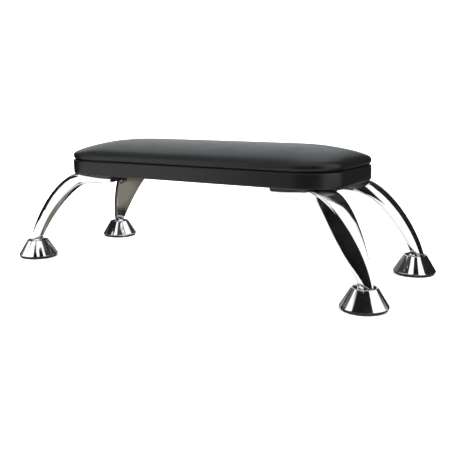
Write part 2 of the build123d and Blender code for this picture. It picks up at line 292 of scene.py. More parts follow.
def pad_outline(inset, corner, long_points=56, short_points=18, arc_points=16):
    """Points round the pad's outline drawn in by inset, anticlockwise from the +X side: a
    quarter circle at each corner and a straight side between, each with its own fixed number of
    points, so that all outlines match."""
    half_length, half_width = PAD_HALF_LENGTH - inset, PAD_HALF_WIDTH - inset
    signs = ((1, 1), (-1, 1), (-1, -1), (1, -1))
    arcs = []
    for index, (along, across) in enumerate(signs):
        angle = np.linspace(0, np.pi / 2, arc_points) + index * np.pi / 2
        arcs.append(np.stack([along * (half_length - corner) + corner * np.cos(angle),
                              across * (half_width - corner) + corner * np.sin(angle)], -1))
    runs = []
    for index, arc in enumerate(arcs):
        following = arcs[(index + 1) % len(arcs)]
        count = short_points if index % 2 else long_points
        share = np.linspace(0, 1, count + 2)[1:-1, None]
        runs += [arc, arc[-1] + (following[0] - arc[-1]) * share]
    return np.concatenate(runs)


def level_rings(insets, heights, corners):
    """A grid of level outlines, one for each inset, height and corner radius."""
    rows = []
    for inset, height, corner in zip(insets, heights, corners):
        flat = pad_outline(inset, corner)
        rows.append(np.column_stack([flat, np.full(len(flat), height)]))
    return np.stack(rows)


def cushion_corner(inset):
    """The corner radius of the cushion's outline at an inset: the pad's own, or, where the
    outline is narrow, the limit share of its half width."""
    limit = CUSHION_CORNER_LIMIT_SHARE * (PAD_HALF_WIDTH - inset) + LEAST_CORNER
    return np.minimum(PAD_CORNER, limit)


def cushion_profile():
    """(inset, height) from the seam to the middle line of the cushion. Up the side, the inset
    runs through a short list of shares of the draw-in. Over the top, the height rises by the
    crown times 1 - (1 - share) ^ power, where share is the way in to the middle line. The whole
    line is then evened out a little, as a skin over foam is."""
    side_rise = np.linspace(0, 1, SIDE_ROWS)
    side_inset = np.interp(side_rise, SIDE_RISE_SHARES, SIDE_INSET_SHARES)
    share = np.linspace(0, 1, CROWN_ROWS)[1:-1] ** CROWN_ROW_POWER
    crown_inset = DRAW_IN + (PAD_HALF_WIDTH - DRAW_IN) * share
    crown_rise = SIDE_HEIGHT + CROWN * (1 - (1 - share) ** CROWN_POWER)
    inset = np.concatenate([DRAW_IN * side_inset, crown_inset])
    rise = np.concatenate([SIDE_HEIGHT * side_rise, crown_rise])
    for _ in range(EVENING_PASSES):
        inset[1:-1] = (inset[:-2] + 2 * inset[1:-1] + inset[2:]) / 4
        rise[1:-1] = (rise[:-2] + 2 * rise[1:-1] + rise[2:]) / 4
    return inset, BAND_TOP + rise


def outward(grid):
    """The unit normal at each point of a grid of closed rings that run anticlockwise and rise
    from row to row."""
    along = np.roll(grid, -1, axis=1) - np.roll(grid, 1, axis=1)
    up = np.gradient(grid, axis=0)
    normal = np.cross(along, up)
    return normal / np.maximum(np.linalg.norm(normal, axis=-1, keepdims=True), TINY)


def swell(grid, pinned_rows, pressure, limit):
    """Cloth simulation of a closed skin: the first rows are held, the others blow out under
    pressure, and no point moves further than the limit."""
    trial = ring_surface("swelling_trial", grid)
    columns = grid.shape[1]
    trial.vertex_groups.new(name="held").add(list(range(pinned_rows * columns)), 1.0, "REPLACE")
    cloth = trial.modifiers.new("swelling", "CLOTH")
    cloth.settings.quality = 5
    cloth.settings.mass = 0.3
    cloth.settings.tension_stiffness = 30
    cloth.settings.compression_stiffness = 30
    cloth.settings.shear_stiffness = 15
    cloth.settings.bending_model = "LINEAR"
    cloth.settings.bending_stiffness = 3
    cloth.settings.use_pressure = True
    cloth.settings.uniform_pressure_force = pressure
    cloth.settings.vertex_group_mass = "held"
    cloth.settings.effector_weights.gravity = 0
    cloth.collision_settings.use_collision = False
    cloth.point_cache.frame_start = 1
    cloth.point_cache.frame_end = SWELL_FRAMES
    for step in range(1, SWELL_FRAMES + 1):
        bpy.context.scene.frame_set(step)
    graph = bpy.context.evaluated_depsgraph_get()
    shift = read_points(trial.evaluated_get(graph).data).reshape(grid.shape) - grid
    bpy.context.scene.frame_set(1)
    bpy.data.objects.remove(trial)
    length = np.linalg.norm(shift, axis=-1, keepdims=True)
    return grid + shift * np.minimum(1, limit / np.maximum(length, TINY))


def closing_line(grid):
    """The last ring of a grid flattened onto the pad's middle line, where its two sides meet."""
    line = grid[-1:].copy()
    line[..., 1] = 0
    return line


def lined_shell(name, outside, inside):
    """One closed shell from two grids of rings, which meet at their first rings. Each closes on
    the middle line."""
    shell = np.concatenate([outside, closing_line(outside), closing_line(inside), inside[::-1]])
    faces = ring_faces(*shell.shape[:2], wrap_rows=True)
    faces = np.delete(faces, len(outside), axis=0).reshape(-1, 4).tolist()
    piece = put_mesh(name, shell.reshape(-1, 3), faces)
    return smooth(tidy_mesh(piece), PADDING_SHARP_ANGLE)


def make_cushion():
    """The upper cushion's skin, as one closed shell, and the foam in it. The skin's outside runs
    from the hem's inner edge out to the seam, up the side and over the crown to the middle line;
    its inside lies the skin's thickness behind that, and the foam a small gap further in."""
    inset, height = cushion_profile()
    hem_inset = DRAW_IN + HEM * np.linspace(1, 0, HEM_ROWS)[:-1]
    inset = np.concatenate([hem_inset, inset])
    height = np.concatenate([np.full(len(hem_inset), BAND_TOP), height])
    outside = level_rings(inset, height, cushion_corner(inset))
    outside = swell(outside, len(hem_inset) + 1, SWELL_PRESSURE, SWELL_LIMIT)
    inside = outside - SKIN * outward(outside)
    skin = lined_shell("cushion_skin", outside, inside)
    foam_rows = inside[np.min(inside[..., 2], axis=1) > FOAM_BOTTOM]
    foam_rows = foam_rows - FOAM_GAP * outward(foam_rows)
    base = foam_rows[:1].copy()
    base[..., 2] = FOAM_BOTTOM
    foam = ring_surface("cushion_filling", np.concatenate([base, foam_rows]))
    return skin, smooth(tidy_mesh(foam), PADDING_SHARP_ANGLE)


def make_band():
    """The leatherette band round the base board: a closed C-shaped section, hems above and
    below, carried round the pad's outline. Its outer face stands out by a shallow belly of
    BAND_BELLY times 1 - (2 share - 1) ^ 2."""
    top, bottom, hem_edge = BAND_TOP / MM, LINING_TOP / MM, (SKIN + HEM) / MM
    skin, rounding, edge = SKIN / MM, BAND_ROUNDING / MM, HEM_EDGE_ROUNDING / MM
    section = rounded_loop((
        (hem_edge, bottom, edge), (0.0, bottom, rounding),
        (0.0, top, rounding), (hem_edge, top, edge),
        (hem_edge, top - skin, edge), (skin, top - skin, rounding - skin),
        (skin, bottom + skin, rounding - skin), (hem_edge, bottom + skin, edge),
    ), arc_points=9) * MM
    following = np.roll(section, -1, axis=0)
    gap = np.linalg.norm(following - section, axis=1)
    counts = np.maximum(1, (gap / BAND_POINT_SPACING).astype(int))
    section = np.concatenate([
        start + (end - start) * np.linspace(0, 1, count, endpoint=False)[:, None]
        for start, end, count in zip(section, following, counts)])
    share = np.clip((section[:, 1] - LINING_TOP) / (BAND_TOP - LINING_TOP), 0, 1)
    outer_face = np.clip(1 - section[:, 0] / BAND_BELLY_DEPTH, 0, 1)
    section[:, 0] -= BAND_BELLY * (1 - (2 * share - 1) ** 2) * outer_face
    grid = level_rings(section[:, 0], section[:, 1], PAD_CORNER - section[:, 0])
    band = ring_surface("base_band", grid, wrap_rows=True)
    return smooth(tidy_mesh(band), PADDING_SHARP_ANGLE)


def make_lining():
    """The black cloth under the base board: level rings drawn in to the middle line, which hang
    by the sag times sin^2 of the way in from the staples, between the plates alone, and the same
    rings again for the upper face. Away from the edge, their corners are a share of their half
    width."""
    share = np.linspace(0, 1, LINING_ROWS)
    inset = LINING_MARGIN + (PAD_HALF_WIDTH - LINING_MARGIN - LINING_LAST_HALF_WIDTH) * share
    half_width = PAD_HALF_WIDTH - inset
    wide = LINING_WIDE_CORNER_SHARE * half_width * (inset > LINING_WIDE_CORNERS_FROM)
    corner = np.maximum(PAD_CORNER - inset, wide + LINING_LEAST_CORNER)
    corner = np.minimum(corner, LINING_CORNER_LIMIT_SHARE * half_width)
    under = level_rings(inset, np.full(len(inset), PAD_UNDERSIDE), corner)
    middle = np.clip((LINING_SAG_END_X - np.abs(under[..., 0])) / LINING_SAG_RUN, 0, 1)
    middle = middle * middle * (3 - 2 * middle)
    way_in = np.clip((inset - LINING_HELD) / (PAD_HALF_WIDTH - LINING_HELD), 0, 1)
    under[..., 2] -= LINING_SAG * middle * np.sin(way_in[:, None] * np.pi / 2) ** 2
    return lined_shell("bottom_lining_cloth", under, under + (0, 0, LINING_TOP - PAD_UNDERSIDE))


# Legs

def bezier(controls, share):
    """The Bezier curve with these control numbers at each share, by repeated mixing of
    neighbours."""
    rows = [np.full(share.shape, value, float) for value in controls]
    while len(rows) > 1:
        rows = [a + (b - a) * share for a, b in zip(rows, rows[1:])]
    return rows[0]


def leg_middle(share):
    """The leg's middle line at each share of the way from the arm's tip to the foot."""
    return np.stack([
        LEG_TIP_X + (FOOT_X - LEG_TIP_X) * bezier(LEG_ALONG, share),
        LEG_TIP_Y + (FOOT_Y - LEG_TIP_Y) * bezier(LEG_ACROSS, share),
        LEG_PATH_BOTTOM + (PLATE_BOTTOM - LEG_PATH_BOTTOM) * bezier(LEG_RISE, share)], -1)


def bowed(start, end, bow, count):
    """Points from start up to end that bow out to the right by the bow times the chord times
    4 share (1 - share)."""
    share = np.linspace(0, 1, count, endpoint=False)[:, None, None]
    chord = end - start
    right = np.stack([chord[..., 1], -chord[..., 0]], -1)
    return start + chord * share + right * bow * 4 * share * (1 - share)


def leg_grid():
    """Sections square to the leg's middle line. Each has a wide under face, two bowed sides and
    a narrower top face, drawn anticlockwise, with its corners softened by averaging along the
    section."""
    share = np.linspace(0, 1, LEG_ROWS)
    middle = leg_middle(share)
    direction = (leg_middle(share + LEG_DIRECTION_STEP_SHARE)
                 - leg_middle(share - LEG_DIRECTION_STEP_SHARE))
    direction /= np.linalg.norm(direction, axis=1, keepdims=True)
    sideways = np.stack([-direction[:, 1], direction[:, 0], np.zeros(LEG_ROWS)], -1)
    sideways /= np.linalg.norm(sideways, axis=1, keepdims=True)
    rising = np.cross(direction, sideways)
    half = LEG_WIDTH * bezier(LEG_WIDTHS, share) / 2
    thick = LEG_THICKNESS * bezier(LEG_THICKNESSES, share) / 2
    inner, outer = np.stack([-half, -thick], -1), np.stack([half, -thick], -1)
    crest = np.stack([bezier(CREST_OFFSETS, share) * half, thick], -1)
    shoulder = np.stack([-bezier(SHOULDER_OFFSETS, share) * half, thick], -1)
    section = np.concatenate([
        bowed(inner, outer, UNDER_BOW, UNDER_POINTS),
        bowed(outer, crest, OUTER_BOW, OUTER_POINTS),
        bowed(crest, shoulder, TOP_BOW, TOP_POINTS),
        bowed(shoulder, inner, INNER_BOW, INNER_POINTS)])
    step = np.linalg.norm(np.roll(section, -1, axis=0) - section, axis=-1).mean()
    for _ in range(int((LEG_EDGE_SOFTNESS / step) ** 2 * 2) + 1):
        section = (np.roll(section, 1, axis=0) + 2 * section + np.roll(section, -1, axis=0)) / 4
    section = section.transpose(1, 0, 2)
    aside, up = section[..., :1], section[..., 1:]
    return middle[:, None] + sideways[:, None] * aside + rising[:, None] * up


def make_leg():
    """The leg at +X +Y: the blade, cut flat under the pad and the plate and square at its tip,
    with seats for its two bolts, and a neck with a bore inside the bell."""
    leg = tidy_mesh(ring_surface("leg_blade", leg_grid()))
    foot = (FOOT_X, FOOT_Y)
    round_spigot = np.array([
        (SPIGOT_RADIUS, -CUT_OVERRUN), (CUT_FOOT_RADIUS, -CUT_OVERRUN),
        (CUT_FOOT_RADIUS, SPIGOT_TOP), (SPIGOT_RADIUS, SPIGOT_TOP)])
    pocket = level_rings((PLATE_MARGIN,) * 2, (PLATE_POCKET_BOTTOM, LEG_TOP + CUT_OVERRUN),
                         (PAD_CORNER - PLATE_MARGIN,) * 2)
    tools = [
        block("above", (CUT_CLEAR, -CUT_CLEAR, LEG_TOP),
              (CUT_END_X, CUT_END, LEG_TOP + CUT_CLEAR)),
        ring_surface("pocket", pocket),
        block("inside_end", (CUT_CLEAR, -CUT_CLEAR, CUT_CLEAR), (LEG_TRIM_X, CUT_END, CUT_END)),
        turned("low_end", round_spigot, foot),
    ]
    for place in LEG_BOLTS:
        tools.append(rod("seat", BOLT_SEAT_RADIUS, place, CUT_CLEAR, BOLT_SEAT))
        tools.append(rod("bolt_hole", BORE_RADIUS, place, CUT_CLEAR, LEG_TOP))
    tools.append(rod("bore", BORE_RADIUS, foot, -CUT_OVERRUN, BORE_TOP))
    for tool in tools:
        leg = cut(leg, tool)
    neck_section = np.array([(BORE_RADIUS, NECK_BOTTOM), (NECK_RADIUS, NECK_BOTTOM),
                             (NECK_RADIUS, NECK_TOP), (BORE_RADIUS, NECK_TOP)])
    return leg, tidy_mesh(turned("neck", neck_section, foot, NECK_COLUMNS))


def mirrored(name, sources, along, across):
    """One piece from several, mirrored into the corner with those signs. A single mirror turns
    faces inside out, so they are turned back."""
    points, faces = [], []
    for source in sources:
        offset = sum(len(part) for part in points)
        points.append(read_points(source.data) * (along, across, 1))
        faces += [[number + offset for number in face.vertices] for face in source.data.polygons]
    if along * across < 0:
        faces = [face[::-1] for face in faces]
    return put_mesh(name, np.concatenate(points), faces)


# Shader nodes. The Mix node has a set of sockets for each kind of value: these are for colours.

MIX_SHARE, MIX_FROM, MIX_TO, MIX_RESULT = 0, 6, 7, 2


def new_group(name, inputs, outputs):
    """An empty shader node group with named number inputs, as (name, value) pairs, and named
    outputs."""
    group = bpy.data.node_groups.new(name, "ShaderNodeTree")
    sockets = group.interface
    sockets.new_socket("Vector", in_out="INPUT", socket_type="NodeSocketVector")
    for label, value in inputs:
        given = sockets.new_socket(label, in_out="INPUT", socket_type="NodeSocketFloat")
        given.default_value = value
    for label in outputs:
        sockets.new_socket(label, in_out="OUTPUT", socket_type="NodeSocketFloat")
    return group, group.nodes.new("NodeGroupInput"), group.nodes.new("NodeGroupOutput")


def add(tree, kind, wires=(), **settings):
    """A node of that kind, with its settings made and its inputs wired from sockets or set to
    values."""
    node = tree.nodes.new("ShaderNode" + kind)
    for label, value in settings.items():
        setattr(node, label, value)
    for socket, source in wires:
        connect(tree, source, node.inputs[socket])
    return node


def connect(tree, source, socket):
    """Wires a node's input from another node's output, or sets it to a value."""
    if isinstance(source, bpy.types.NodeSocket):
        tree.links.new(source, socket)
    else:
        socket.default_value = source


def maths(tree, operation, *values):
    """The output of one Math node."""
    return add(tree, "Math", list(enumerate(values)), operation=operation).outputs[0]


def noise(tree, vector, scale, detail=3.0, roughness=0.5):
    """The height of one Noise Texture node."""
    wires = (("Vector", vector), ("Scale", scale), ("Detail", detail), ("Roughness", roughness))
    return add(tree, "TexNoise", wires).outputs[0]


def spread(tree, value, low, high, to_low=0.0, to_high=1.0):
    """A value carried from one range to another, and held at its ends."""
    wires = (("Value", value), ("From Min", low), ("From Max", high),
             ("To Min", to_low), ("To Max", to_high))
    return add(tree, "MapRange", wires).outputs[0]


def mix_colours(tree, share, dark, light):
    """A colour between two, each a socket or three numbers, at the share that a socket gives."""
    dark, light = (end if isinstance(end, bpy.types.NodeSocket) else (*end, 1)
                   for end in (dark, light))
    wires = ((MIX_SHARE, share), (MIX_FROM, dark), (MIX_TO, light))
    return add(tree, "Mix", wires, data_type="RGBA").outputs[MIX_RESULT]


def group_grain():
    """Leather grain: the width of the creases between cells of a Voronoi pattern, warped by
    noise, over a slower unevenness of the hide."""
    group, given, out = new_group("leather_grain", (("Cells", 900.0), ("Creases", 1.0)),
                                  ("Height", "Shine"))
    vector = given.outputs["Vector"]
    warp = add(group, "TexNoise", (("Vector", vector), ("Scale", 260.0), ("Detail", 2.0)))
    moved = add(group, "VectorMath", ((0, warp.outputs["Color"]), (1, (0.9 * MM,) * 3)),
                operation="MULTIPLY")
    place = add(group, "VectorMath", ((0, vector), (1, moved.outputs[0])), operation="ADD")
    cells = add(group, "TexVoronoi",
                (("Vector", place.outputs[0]), ("Scale", given.outputs["Cells"])),
                feature="DISTANCE_TO_EDGE")
    crease = spread(group, cells.outputs["Distance"], 0.0, 0.28)
    pores = noise(group, vector, 2600.0, detail=2.0)
    slow = noise(group, vector, 55.0)
    fine = maths(group, "MULTIPLY", crease, given.outputs["Creases"])
    height = maths(group, "ADD", maths(group, "MULTIPLY", pores, 0.3), fine)
    height = maths(group, "ADD", height, maths(group, "MULTIPLY", slow, 0.8))
    shine = maths(group, "ADD", maths(group, "MULTIPLY", slow, 0.7),
                  maths(group, "MULTIPLY", crease, 0.3))
    group.links.new(height, out.inputs["Height"])
    group.links.new(shine, out.inputs["Shine"])
    return group


def group_polish():
    """What polishing leaves on a casting: a long shallow waviness, and fine haze in drifts."""
    group, given, out = new_group("polish", (("Waves", 40.0), ("Haze", 900.0)),
                                  ("Height", "Mask"))
    vector = given.outputs["Vector"]
    waves = noise(group, vector, given.outputs["Waves"], detail=1.0)
    drifts = noise(group, vector, 60.0, detail=4.0)
    haze = noise(group, vector, given.outputs["Haze"], detail=5.0, roughness=0.7)
    mask = maths(group, "MULTIPLY", spread(group, drifts, 0.35, 0.75), haze)
    group.links.new(waves, out.inputs["Height"])
    group.links.new(mask, out.inputs["Mask"])
    return group


def group_fibres():
    """Fibres that run two ways: noise stretched along X laid over noise stretched along Y, of
    which the higher shows."""
    group, given, out = new_group("fibres", (("Fineness", 500.0), ("Stretch", 0.08)),
                                  ("Height",))
    runs = []
    for long_axis in (0, 1):
        parts = [given.outputs["Stretch"] if axis == long_axis else 1.0 for axis in range(3)]
        size = add(group, "CombineXYZ", list(enumerate(parts)))
        place = add(group, "VectorMath", ((0, given.outputs["Vector"]), (1, size.outputs[0])),
                    operation="MULTIPLY")
        runs.append(noise(group, place.outputs[0], given.outputs["Fineness"], detail=4.0,
                          roughness=0.6))
    group.links.new(maths(group, "MAXIMUM", *runs), out.inputs["Height"])
    return group


def place_group(tree, group, vector, **values):
    """A group in a material, with its own values for the named inputs."""
    node = tree.nodes.new("ShaderNodeGroup")
    node.node_tree = group
    tree.links.new(vector, node.inputs["Vector"])
    for label, value in values.items():
        node.inputs[label].default_value = value
    return node


# Finishes. Each Bump node gives the relief of a finish, as its height in metres and its strength.

def start_material(name):
    """A new material with its node tree and shader, then the tree again, and its Object
    coordinates."""
    material = bpy.data.materials.new(name)
    material.use_nodes = True
    tree = material.node_tree
    start = (material, tree, tree.nodes["Principled BSDF"])
    return start, tree, add(tree, "TexCoord").outputs["Object"]


def finish_material(start, colour, height, relief, strength, roughness, sockets=()):
    """Fills in one Principled material. colour and roughness are sockets or values, height feeds
    a Bump node, and sockets are constants set on the shader itself."""
    material, tree, shader = start
    for label, value in (("Base Color", colour), ("Roughness", roughness)) + tuple(sockets):
        connect(tree, value, shader.inputs[label])
    bump = add(tree, "Bump", (("Height", height), ("Distance", relief), ("Strength", strength)))
    tree.links.new(bump.outputs[0], shader.inputs["Normal"])
    return material


def leatherette(grain):
    """Black leatherette: fine grain under a half-gloss top coat."""
    start, tree, place = start_material("black_leatherette")
    skin = place_group(tree, grain, place, Cells=950.0, Creases=1.0)
    shine = skin.outputs["Shine"]
    colour = mix_colours(tree, shine, (0.0018, 0.002, 0.0022), (0.0036, 0.004, 0.0043))
    rough = spread(tree, shine, 0.2, 0.9, to_low=0.3, to_high=0.42)
    return finish_material(start, colour, skin.outputs["Height"], relief=0.06 * MM, strength=0.55,
                           roughness=rough, sockets=(("Specular IOR Level", 0.36),))


def chrome(polish):
    """Polished chrome plate on a casting."""
    start, tree, place = start_material("chrome_plate")
    sheen = place_group(tree, polish, place, Waves=45.0, Haze=1200.0)
    mask = sheen.outputs["Mask"]
    colour = mix_colours(tree, mask, (0.86, 0.87, 0.885), (0.78, 0.785, 0.8))
    rough = spread(tree, mask, 0.0, 0.6, to_low=0.05, to_high=0.12)
    return finish_material(start, colour, sheen.outputs["Height"], relief=0.4 * MM, strength=0.12,
                           roughness=rough, sockets=(("Metallic", 1.0),))


def plated(name, polish, dark, light, smoothest, roughest, waves):
    """Plated or oxidised steel with small crystals in its coat, eight to a wave."""
    start, tree, place = start_material(name)
    sheen = place_group(tree, polish, place, Waves=waves, Haze=2500.0)
    crystals = add(tree, "TexVoronoi", (("Vector", place), ("Scale", waves * 8)))
    share = maths(tree, "MULTIPLY", crystals.outputs["Distance"], 1.2)
    colour = mix_colours(tree, share, dark, light)
    rough = spread(tree, sheen.outputs["Mask"], 0.0, 0.6, smoothest, roughest)
    return finish_material(start, colour, crystals.outputs["Distance"], relief=0.04 * MM,
                           strength=0.3, roughness=rough, sockets=(("Metallic", 1.0),))


def black_paint(polish):
    """Satin black paint on plate, with a slight orange peel."""
    start, tree, place = start_material("satin_black_paint")
    sheen = place_group(tree, polish, place, Waves=420.0, Haze=1500.0)
    mask = sheen.outputs["Mask"]
    colour = mix_colours(tree, mask, (0.012, 0.012, 0.013), (0.03, 0.03, 0.031))
    rough = spread(tree, mask, 0.0, 0.6, to_low=0.32, to_high=0.5)
    return finish_material(start, colour, sheen.outputs["Height"], relief=0.1 * MM, strength=0.3,
                           roughness=rough)


def moulded_rubber(polish):
    """Matt moulded rubber with dusty drifts."""
    start, tree, place = start_material("moulded_rubber")
    dust = place_group(tree, polish, place, Waves=900.0, Haze=2000.0)
    mask = dust.outputs["Mask"]
    colour = mix_colours(tree, mask, (0.012, 0.012, 0.012), (0.045, 0.044, 0.042))
    rough = spread(tree, mask, 0.0, 0.6, to_low=0.7, to_high=0.9)
    return finish_material(start, colour, dust.outputs["Height"], relief=0.15 * MM, strength=0.4,
                           roughness=rough)


def lining_cloth(fibres):
    """Black non-woven cloth."""
    start, tree, place = start_material("non_woven_lining")
    web = place_group(tree, fibres, place, Fineness=900.0, Stretch=0.12).outputs["Height"]
    share = spread(tree, web, 0.4, 0.75)
    colour = mix_colours(tree, share, (0.008, 0.008, 0.009), (0.04, 0.04, 0.042))
    return finish_material(start, colour, web, relief=0.2 * MM, strength=0.6, roughness=0.85)


def fibreboard(fibres):
    """Raw fibreboard."""
    start, tree, place = start_material("raw_fibreboard")
    web = place_group(tree, fibres, place, Fineness=700.0, Stretch=0.5).outputs["Height"]
    share = spread(tree, web, 0.35, 0.8)
    colour = mix_colours(tree, share, (0.2, 0.125, 0.07), (0.4, 0.28, 0.17))
    return finish_material(start, colour, web, relief=0.1 * MM, strength=0.4, roughness=0.8)


def plywood(fibres):
    """Raw plywood: streaks of grain along X, in layers whose tone changes through the board's
    thickness."""
    start, tree, place = start_material("raw_plywood")
    streaks = place_group(tree, fibres, place, Fineness=420.0, Stretch=0.05).outputs["Height"]
    height = add(tree, "SeparateXYZ", ((0, place),)).outputs[2]
    layer = 1.6 * MM
    layers = maths(tree, "SINE", maths(tree, "MULTIPLY", height, 2 * math.pi / layer))
    share = maths(tree, "MULTIPLY_ADD", layers, 0.2, spread(tree, streaks, 0.35, 0.8))
    colour = mix_colours(tree, share, (0.3, 0.17, 0.08), (0.6, 0.42, 0.24))
    return finish_material(start, colour, streaks, relief=0.1 * MM, strength=0.5, roughness=0.7)


def foam_cells():
    """Open-cell foam: small round cells of many sizes."""
    start, tree, place = start_material("upholstery_foam")
    cells = add(tree, "TexVoronoi", (("Vector", place), ("Scale", 1100.0)))
    tone = noise(tree, place, 30.0)
    colour = mix_colours(tree, tone, (0.62, 0.54, 0.3), (0.8, 0.74, 0.5))
    return finish_material(start, colour, cells.outputs["Distance"], relief=0.6 * MM,
                           strength=0.8, roughness=0.95)


def make_materials():
    """Every finish, by the name of its slot in the record."""
    grain, polish, fibres = group_grain(), group_polish(), group_fibres()
    return {
        "leatherette": leatherette(grain),
        "chrome": chrome(polish),
        "zinc": plated("zinc_plate", polish, dark=(0.42, 0.43, 0.44), light=(0.7, 0.7, 0.68),
                       smoothest=0.28, roughest=0.42, waves=300.0),
        "black_bolts": plated("black_oxide", polish, dark=(0.02, 0.02, 0.022),
                              light=(0.06, 0.06, 0.062), smoothest=0.35, roughest=0.5,
                              waves=500.0),
        "black_steel": black_paint(polish),
        "rubber": moulded_rubber(polish),
        "lining": lining_cloth(fibres),
        "fibreboard": fibreboard(fibres),
        "plywood": plywood(fibres),
        "foam": foam_cells(),
    }


MATERIALS = make_materials()
for entry in frame["record"]["subparts"]:
    node = frame["nodes"][entry["node"]]
    node.data.materials.clear()
    node.data.materials.append(MATERIALS[entry["material_slot"]])


def finished(piece, slot, body, *nodes):
    """A new piece in its finish, on its body, in place of its nodes."""
    piece.data.materials.clear()
    piece.data.materials.append(MATERIALS[slot])
    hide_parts(*nodes)
    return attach(piece, body)


# The pieces

cushion, filling = make_cushion()
finished(cushion, "leatherette", "frame", "top_cover")
finished(filling, "foam", "frame", "cushion_foam")
finished(make_band(), "leatherette", "frame", "base_cover")
lining = finished(make_lining(), "lining", "frame", "bottom_lining")

leg_sources = make_leg()
bell_section = rounded_loop(BELL_SECTION) * MM
for corner, (along, across) in CORNERS.items():
    leg = smooth(mirrored(f"{corner}_chrome_leg", leg_sources, along, across), LEG_SHARP_ANGLE)
    finished(leg, "chrome", "frame", f"{corner}_leg")
    foot = (FOOT_X * along, FOOT_Y * across)
    bell = tidy_mesh(turned(f"{corner}_chrome_bell", bell_section, foot, BELL_COLUMNS))
    finished(smooth(bell, BELL_SHARP_ANGLE), "chrome", f"{corner}_bell", f"{corner}_bell_foot")
for source in leg_sources:
    bpy.data.objects.remove(source)


# Camera

CAMERA_PLACE = (0.43129, -0.65863, 0.19487)
CAMERA_YAW, CAMERA_PITCH, CAMERA_ROLL = 32.147, 10.875, -0.413
CAMERA_FOCUS_PX = 680.5
FRAME_PX = 455
SENSOR_WIDTH_MM = 36

camera_data = bpy.data.cameras.new("camera")
camera_data.sensor_width = SENSOR_WIDTH_MM
camera_data.lens = SENSOR_WIDTH_MM * CAMERA_FOCUS_PX / FRAME_PX
camera_data.clip_start = 10 * MM
camera = bpy.data.objects.new("camera", camera_data)
bpy.context.scene.collection.objects.link(camera)
camera.matrix_world = (Matrix.Translation(CAMERA_PLACE)
                       @ Matrix.Rotation(math.radians(CAMERA_YAW), 4, "Z")
                       @ Matrix.Rotation(math.radians(90 - CAMERA_PITCH), 4, "X")
                       @ Matrix.Rotation(math.radians(CAMERA_ROLL), 4, "Z"))
bpy.context.scene.camera = camera


# Floor and light. Levels are brightness: 1 is white.

BACKDROP_LEVEL = 2.3
ROOM_LEVEL = 0.16
WHITE, COOL, BROWN = (1, 1, 1), (0.94, 1, 1.02), (1, 0.93, 0.77)
SOFT_BOXES = (
    # Below the horizon: the pale floor, and darker brown under the far side
    (0, 180, -90, -11, 2, 1.0, WHITE),
    (24, 68, -90, -13, 8, 0.1, BROWN),
    (20, 60, -82, -60, 5, 0.24, BROWN),
    (69, 11, -60, -44, 4, 0.02, WHITE),
    (-27, 10, -31, -15, 3, 0.33, WHITE),
    # Overhead
    (0, 180, 62, 90, 6, 0.9, WHITE),
    (-95, 45, 46, 66, 6, 0.45, WHITE),
    # White walls in front and on the left, with dark gaps
    (-150, 46, -24, 42, 3, 1.25, WHITE),
    (-170, 24, -24, 62, 3, 1.25, WHITE),
    (-128, 14, 38, 52, 4, 0.05, WHITE),
    (-66, 18, -8, 15, 4, 0.05, WHITE),
    # The far side and the right, with the dark gap behind the near right leg
    (-38, 24, -8, 46, 4, 0.92, COOL),
    (122, 33, -44, 62, 3, 1.3, WHITE),
    (60, 30, -9, 68, 4, 1.3, WHITE),
    (10, 22, 14, 57, 3, 0.03, WHITE),
    (30, 14, 10, 32, 5, 0.03, WHITE),
)


def across_x(x, *corners):
    """The corners of a flag that stands square to X, from its (y, z) corners."""
    return tuple((x, y, z) for y, z in corners)


def across_y(y, *corners):
    """The corners of a flag that stands square to Y, from its (x, z) corners."""
    return tuple((x, y, z) for x, z in corners)


FLAGS = (
    # A tall one in front, bent inwards at its right end
    (0.006, across_y(-0.5, (-0.18, -0.12), (0.32, -0.12), (0.32, 0.54), (-0.15, 0.54),
                     (-0.15, 0.2))),
    (0.006, ((0.32, -0.5, -0.12), (0.485, -0.2, 0.0), (0.485, -0.2, 0.85), (0.32, -0.5, 0.85))),
    # One on the right, behind the middle
    (0.012, across_x(0.29, (0.055, -0.02), (0.6, -0.02), (0.6, 0.42), (0.12, 0.42), (0.1, 0.3),
                     (0.055, 0.2))),
    # Seven on the left: a dark one high up, a brown sheet on the floor that is painted shade of
    # the
    #     floor near the left feet, and beside the legs three dark ones and two brown ones
    (0.01, across_y(-0.2, (-0.5, 0.27), (-0.25, 0.27), (-0.25, 0.4), (-0.5, 0.4))),
    (0.2, ((-0.27, 0.0, 0.0005), (-0.18, 0.0, 0.0005), (-0.18, 0.05, 0.0005),
           (-0.27, 0.055, 0.0005))),
    (0.01, across_x(-0.2, (-0.06, 0.06), (-0.081, 0.06), (-0.084, 0.08), (-0.09, 0.095),
                    (-0.101, 0.112), (-0.114, 0.126), (-0.135, 0.14), (-0.165, 0.156),
                    (-0.17, 0.172), (-0.145, 0.164), (-0.11, 0.148), (-0.078, 0.131),
                    (-0.06, 0.122))),
    (0.01, across_x(-0.25, (-0.03, 0.0), (-0.076, 0.0), (-0.082, 0.035), (-0.099, 0.05),
                    (-0.104, 0.08), (-0.11, 0.1), (-0.12, 0.118), (-0.14, 0.138),
                    (-0.165, 0.16), (-0.22, 0.185), (-0.193, 0.205), (-0.151, 0.187),
                    (-0.115, 0.168), (-0.074, 0.15), (-0.03, 0.13))),
    (0.01, across_x(-0.3, (-0.08, 0.0), (0.13, 0.0), (0.13, 0.14), (0.085, 0.14), (-0.08, 0.17))),
    (0.2, across_x(-0.32, (0.12, -0.05), (0.7, -0.05), (0.7, 0.16), (0.12, 0.16))),
    (0.07, across_x(-0.298, (0.0, -0.06), (0.085, -0.06), (0.085, 0.04), (0.0, 0.04))),
)
FLAG_LEAST, FLAG_MOST = 0.8, 1.2
SHEET_MOTTLE_SCALE = 400.0
